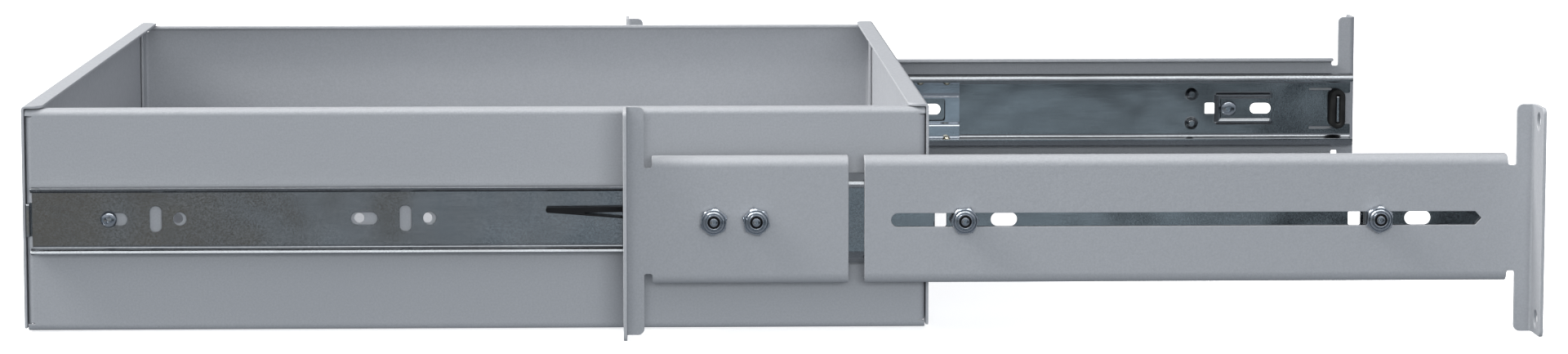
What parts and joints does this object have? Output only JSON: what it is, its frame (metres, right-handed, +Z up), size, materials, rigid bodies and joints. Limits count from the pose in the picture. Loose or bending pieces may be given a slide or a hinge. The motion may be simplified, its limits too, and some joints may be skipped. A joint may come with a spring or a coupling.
{
  "type": "rack drawer on ball-bearing slides",
  "caption": "Shallow sheet-steel drawer for a 19-inch rack, drawn open on a pair of ball-bearing slides with front brackets and slotted, depth-adjustable rear brackets.",
  "frame": {"origin": "middle of the footprint with the drawer drawn open, at the foot of the ears", "axes": "+X towards the back of the rack, so the drawer opens towards -X; +Y towards the left-hand slide; +Z up"},
  "size_m": [0.5832, 0.4826, 0.0881],
  "materials": {
    "powder_coat": "grey fine-texture powder coat",
    "zinc_steel": "zinc-plated rolled steel",
    "bright_zinc": "bright zinc-plated fasteners",
    "black_plastic": "black moulded plastic",
    "rubber": "black rubber"
  },
  "bodies": {
    "rails": {"outer_member_right": "zinc_steel", "rubber_bumper_right": "rubber", "front_bracket_right": "powder_coat", "bracket_bolt_right_1": "bright_zinc", "bracket_bolt_right_2": "bright_zinc", "bracket_bolt_right_3": "bright_zinc", "bracket_bolt_right_4": "bright_zinc", "lock_nut_right_1": "bright_zinc", "lock_nut_right_2": "bright_zinc", "lock_nut_right_3": "bright_zinc", "lock_nut_right_4": "bright_zinc", "outer_member_left": "zinc_steel", "rubber_bumper_left": "rubber", "front_bracket_left": "powder_coat", "bracket_bolt_left_1": "bright_zinc", "bracket_bolt_left_2": "bright_zinc", "bracket_bolt_left_3": "bright_zinc", "bracket_bolt_left_4": "bright_zinc", "lock_nut_left_1": "bright_zinc", "lock_nut_left_2": "bright_zinc", "lock_nut_left_3": "bright_zinc", "lock_nut_left_4": "bright_zinc"},
    "drawer": {"drawer_tray": "powder_coat", "front_panel": "powder_coat", "rear_panel": "powder_coat", "inner_member_right": "zinc_steel", "lever_rivet_right": "bright_zinc", "drawer_screw_right_front": "bright_zinc", "drawer_screw_right_rear": "bright_zinc", "drawer_nut_right_front": "bright_zinc", "drawer_nut_right_rear": "bright_zinc", "inner_member_left": "zinc_steel", "lever_rivet_left": "bright_zinc", "drawer_screw_left_front": "bright_zinc", "drawer_screw_left_rear": "bright_zinc", "drawer_nut_left_front": "bright_zinc", "drawer_nut_left_rear": "bright_zinc"},
    "cage_right": {"ball_cage_right": "zinc_steel"},
    "lever_right": {"disconnect_lever_right": "black_plastic"},
    "rear_bracket_right": {"rear_bracket_right": "powder_coat"},
    "cage_left": {"ball_cage_left": "zinc_steel"},
    "lever_left": {"disconnect_lever_left": "black_plastic"},
    "rear_bracket_left": {"rear_bracket_left": "powder_coat"}
  },
  "joints": [
    {"name": "drawer_slide", "type": "slide", "parent": "rails", "child": "drawer", "axis": [1, 0, 0], "range_m": [0, 0.218]},
    {"name": "cage_right_roll", "type": "slide", "parent": "rails", "child": "cage_right", "axis": [1, 0, 0], "range_m": [0, 0.109]},
    {"name": "lever_right_press", "type": "hinge", "parent": "drawer", "child": "lever_right", "pos_m": [-0.0444, -0.2127, 0.04485], "axis": [0, -1, 0], "range_deg": [0, 5], "stiffness_Nm_per_rad": 0.4, "springref_deg": -1.72},
    {"name": "rear_bracket_right_adjust", "type": "slide", "parent": "rails", "child": "rear_bracket_right", "axis": [1, 0, 0], "range_m": [-0.005, 0.025]},
    {"name": "cage_left_roll", "type": "slide", "parent": "rails", "child": "cage_left", "axis": [1, 0, 0], "range_m": [0, 0.109]},
    {"name": "lever_left_press", "type": "hinge", "parent": "drawer", "child": "lever_left", "pos_m": [-0.0444, 0.2127, 0.04325], "axis": [0, 1, 0], "range_deg": [0, 5], "stiffness_Nm_per_rad": 0.4, "springref_deg": -1.72},
    {"name": "rear_bracket_left_adjust", "type": "slide", "parent": "rails", "child": "rear_bracket_left", "axis": [1, 0, 0], "range_m": [-0.005, 0.025]}
  ],
  "couplings": [
    {"joint": "cage_right_roll", "follows": "drawer_slide", "ratio": 0.5},
    {"joint": "cage_left_roll", "follows": "drawer_slide", "ratio": 0.5}
  ]
}
